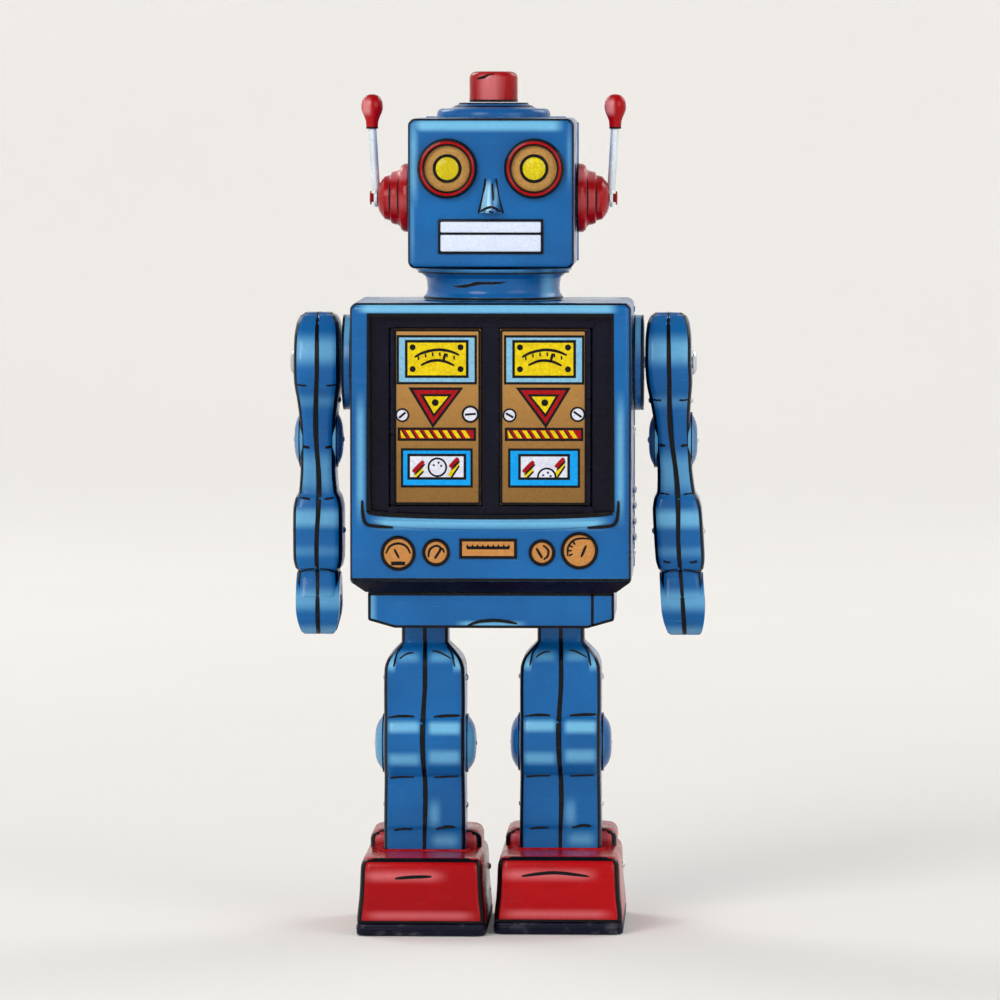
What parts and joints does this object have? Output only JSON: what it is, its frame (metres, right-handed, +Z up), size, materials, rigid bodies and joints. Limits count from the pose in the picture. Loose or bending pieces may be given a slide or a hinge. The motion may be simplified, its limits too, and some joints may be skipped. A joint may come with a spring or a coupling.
{
  "type": "wind-up robot toy",
  "caption": "Tin wind-up walking robot: boxy pressed body and head, hinged chest doors, posable arms and aerials, key motor that cranks the legs.",
  "frame": {"origin": "centre of the bounding box on the floor under the soles", "axes": "+Z up, robot faces -Y, +X is the right side seen from the front"},
  "size_m": [0.1416, 0.0935, 0.2901],
  "materials": {
    "blue_enamel": "glossy blue enamel on tinplate",
    "navy_enamel": "glossy dark navy enamel",
    "red_enamel": "glossy red enamel on tinplate",
    "printed_tan": "lithographed tan panel, glossy varnish",
    "pale_enamel": "pale lavender enamel",
    "red_plastic": "glossy red moulded plastic",
    "lens_plastic": "glossy tan and yellow moulded plastic",
    "sole_plastic": "dark moulded sole",
    "steel": "plated steel",
    "brass": "stamped brass"
  },
  "bodies": {
    "torso": {"torso_shell": "blue_enamel", "torso_back": "blue_enamel", "waist_band": "navy_enamel", "hips": "blue_enamel", "chest_bay": "navy_enamel", "neck": "blue_enamel", "head_shell": "blue_enamel", "head_back": "blue_enamel", "head_collar": "blue_enamel", "head_lamp": "red_plastic", "eye_bezel_left": "red_plastic", "eye_bezel_right": "red_plastic", "eye_lens_left": "lens_plastic", "eye_lens_right": "lens_plastic", "mouth_plate": "pale_enamel", "ear_left": "red_plastic", "ear_right": "red_plastic", "shoulder_disc_left": "blue_enamel", "shoulder_disc_right": "blue_enamel", "motor_front_plate": "steel", "motor_back_plate": "steel", "motor_pillar_a": "steel", "motor_pillar_b": "steel", "motor_pillar_c": "steel", "guide_rod": "steel", "mainspring": "steel"},
    "crank": {"crankshaft": "steel"},
    "second_arbor": {"second_arbor": "steel", "second_wheel": "brass", "crown_wheel": "brass"},
    "great_wheel": {"great_wheel": "brass", "click": "steel"},
    "winder": {"winding_arbor": "steel", "ratchet_wheel": "brass", "winding_key": "steel"},
    "governor": {"governor": "brass"},
    "stop_lever": {"stop_lever": "steel"},
    "leg_left": {"leg_outer_left": "blue_enamel", "leg_inner_left": "blue_enamel", "leg_hanger_left": "steel", "foot_shell_left": "red_enamel", "foot_sole_left": "sole_plastic"},
    "arm_left": {"arm_outer_left": "blue_enamel", "arm_inner_left": "blue_enamel", "shoulder_axle_left": "steel"},
    "door_left": {"door_left": "printed_tan"},
    "antenna_left": {"antenna_rod_left": "steel", "antenna_tip_left": "red_plastic"},
    "leg_right": {"leg_outer_right": "blue_enamel", "leg_inner_right": "blue_enamel", "leg_hanger_right": "steel", "foot_shell_right": "red_enamel", "foot_sole_right": "sole_plastic"},
    "arm_right": {"arm_outer_right": "blue_enamel", "arm_inner_right": "blue_enamel", "shoulder_axle_right": "steel"},
    "door_right": {"door_right": "printed_tan"},
    "antenna_right": {"antenna_rod_right": "steel", "antenna_tip_right": "red_plastic"}
  },
  "joints": [
    {"name": "crank_turn", "type": "hinge", "parent": "torso", "child": "crank", "pos_m": [-0.00157, -0.00475, 0.12], "axis": [1, 0, 0], "continuous": true},
    {"name": "second_arbor_turn", "type": "hinge", "parent": "torso", "child": "second_arbor", "pos_m": [-0.00157, -0.00475, 0.12], "axis": [0, 1, 0], "continuous": true},
    {"name": "great_wheel_turn", "type": "hinge", "parent": "torso", "child": "great_wheel", "pos_m": [-0.00157, -0.00475, 0.144], "axis": [0, 1, 0], "continuous": true},
    {"name": "key_wind", "type": "hinge", "parent": "great_wheel", "child": "winder", "pos_m": [-0.00157, -0.00475, 0.144], "axis": [0, 1, 0], "continuous": true},
    {"name": "governor_turn", "type": "hinge", "parent": "torso", "child": "governor", "pos_m": [0.01603, -0.00475, 0.12], "axis": [0, 1, 0], "continuous": true},
    {"name": "stop_lever_turn", "type": "hinge", "parent": "torso", "child": "stop_lever", "pos_m": [-0.02557, -0.00475, 0.13], "axis": [0, 1, 0], "range_deg": [0, 20]},
    {"name": "leg_left_turn", "type": "hinge", "parent": "crank", "child": "leg_left", "pos_m": [-0.02457, -0.00775, 0.12], "axis": [1, 0, 0], "continuous": true},
    {"name": "leg_right_turn", "type": "hinge", "parent": "crank", "child": "leg_right", "pos_m": [0.02143, -0.00175, 0.12], "axis": [1, 0, 0], "continuous": true},
    {"name": "arm_left_swing", "type": "hinge", "parent": "torso", "child": "arm_left", "pos_m": [-0.06107, -0.00475, 0.1913], "axis": [1, 0, 0], "range_deg": [-150, 40]},
    {"name": "arm_right_swing", "type": "hinge", "parent": "torso", "child": "arm_right", "pos_m": [0.05793, -0.00475, 0.1913], "axis": [1, 0, 0], "range_deg": [-150, 40]},
    {"name": "door_left_open", "type": "hinge", "parent": "torso", "child": "door_left", "pos_m": [-0.03457, -0.03495, 0.1741], "axis": [0, 0, -1], "range_deg": [0, 100]},
    {"name": "door_right_open", "type": "hinge", "parent": "torso", "child": "door_right", "pos_m": [0.03143, -0.03495, 0.1741], "axis": [0, 0, 1], "range_deg": [0, 100]},
    {"name": "antenna_left_tilt", "type": "hinge", "parent": "torso", "child": "antenna_left", "pos_m": [-0.04217, -0.00475, 0.2472], "axis": [1, 0, 0], "range_deg": [-40, 40]},
    {"name": "antenna_right_tilt", "type": "hinge", "parent": "torso", "child": "antenna_right", "pos_m": [0.03903, -0.00475, 0.2472], "axis": [1, 0, 0], "range_deg": [-40, 40]}
  ],
  "couplings": [
    {"joint": "second_arbor_turn", "follows": "crank_turn", "ratio": -0.34286},
    {"joint": "great_wheel_turn", "follows": "crank_turn", "ratio": 0.085714},
    {"joint": "governor_turn", "follows": "crank_turn", "ratio": 1.5429},
    {"joint": "leg_left_turn", "follows": "crank_turn", "ratio": -1},
    {"joint": "leg_right_turn", "follows": "crank_turn", "ratio": -1}
  ]
}
